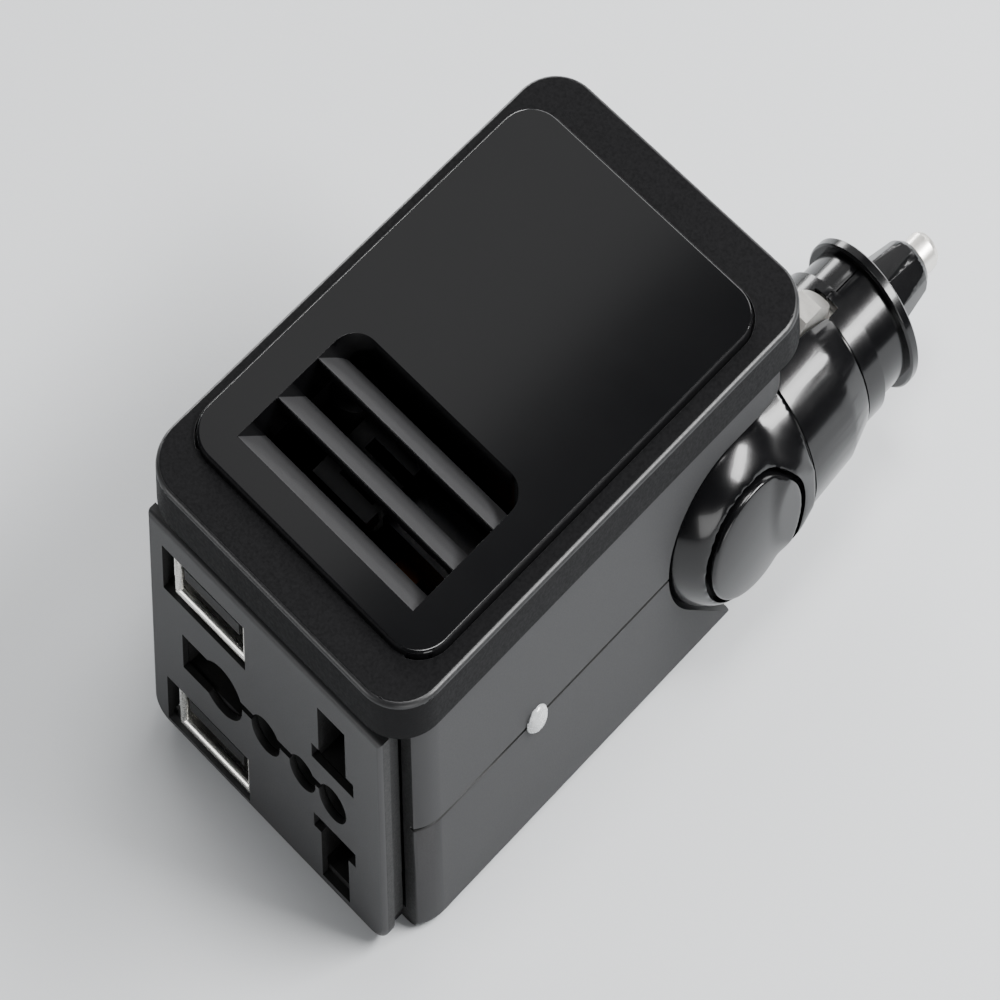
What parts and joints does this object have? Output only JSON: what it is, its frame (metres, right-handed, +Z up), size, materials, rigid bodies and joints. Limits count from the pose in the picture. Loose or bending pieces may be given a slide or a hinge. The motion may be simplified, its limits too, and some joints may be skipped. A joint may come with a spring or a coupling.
{
  "type": "car power inverter",
  "caption": "Plug-in car power inverter: louvred box with a universal mains socket, USB sockets and a folding 12 V plug with sprung tip and side contacts.",
  "frame": {"origin": "on the flat base, in the middle of the lid's width and length", "axes": "+Z up, +Y towards the 12 V plug, +X to the right seen from the socket end"},
  "size_m": [0.0573, 0.1177, 0.046],
  "materials": {
    "grey_housing": "satin moulded ABS",
    "charcoal_lid": "fine grained ABS",
    "gloss_panel": "polished ABS",
    "grey_panel": "satin moulded ABS",
    "black_insulator": "moulded nylon",
    "brass_strip": "rolled strip",
    "nickel_sheet": "nickel plated sheet",
    "green_board": "solder mask",
    "clear_lens": "clear moulded epoxy",
    "ferrite": "ground ferrite",
    "copper_winding": "enamelled copper under tape",
    "bare_aluminium": "bent sheet",
    "can_sleeve": "printed-free shrink sleeve",
    "zinc_steel": "zinc plated",
    "gloss_black": "polished ABS",
    "bright_nickel": "bright nickel plate",
    "fuse_glass": "clear tube"
  },
  "bodies": {
    "case": {"lower_shell": "grey_housing", "upper_shell": "grey_housing", "top_cover": "charcoal_lid", "vent_panel": "gloss_panel", "socket_panel": "grey_panel", "socket_block": "black_insulator", "live_contact": "brass_strip", "neutral_contact": "brass_strip", "earth_contact": "brass_strip", "usb_shell_upper": "nickel_sheet", "usb_shell_lower": "nickel_sheet", "usb_tongue_upper": "black_insulator", "usb_tongue_lower": "black_insulator", "usb_board": "green_board", "status_led": "clear_lens", "main_board": "green_board", "transformer_core": "ferrite", "transformer_winding": "copper_winding", "heat_sink": "bare_aluminium", "power_transistors": "black_insulator", "filter_capacitor": "can_sleeve", "input_capacitors": "can_sleeve", "toroid_choke": "copper_winding", "case_screws": "zinc_steel", "board_screws": "zinc_steel", "pivot_washer": "zinc_steel"},
    "plug": {"plug_half_left": "gloss_black", "plug_half_right": "gloss_black", "pivot_cap": "gloss_black", "pivot_clip": "zinc_steel", "plug_screws": "zinc_steel", "nose_cap": "gloss_black", "tip_spring": "zinc_steel"},
    "tip": {"centre_pin": "bright_nickel", "fuse_tube": "fuse_glass", "fuse_caps": "bright_nickel"},
    "top_contact": {"contact_top": "bright_nickel"},
    "bottom_contact": {"contact_bottom": "bright_nickel"}
  },
  "joints": [
    {"name": "plug_fold", "type": "hinge", "parent": "case", "child": "plug", "pos_m": [0.0182, 0.0254, 0.0182], "axis": [-1, 0, 0], "range_deg": [0, 45]},
    {"name": "tip_press", "type": "slide", "parent": "plug", "child": "tip", "axis": [0, -1, 0], "range_m": [0, 0.0025], "stiffness_N_per_m": 800, "springref_m": -0.002},
    {"name": "top_contact_press", "type": "slide", "parent": "plug", "child": "top_contact", "axis": [0, 0, -1], "range_m": [0, 0.0012], "stiffness_N_per_m": 600, "springref_m": -0.001},
    {"name": "bottom_contact_press", "type": "slide", "parent": "plug", "child": "bottom_contact", "axis": [0, 0, 1], "range_m": [0, 0.0012], "stiffness_N_per_m": 600, "springref_m": -0.001}
  ]
}
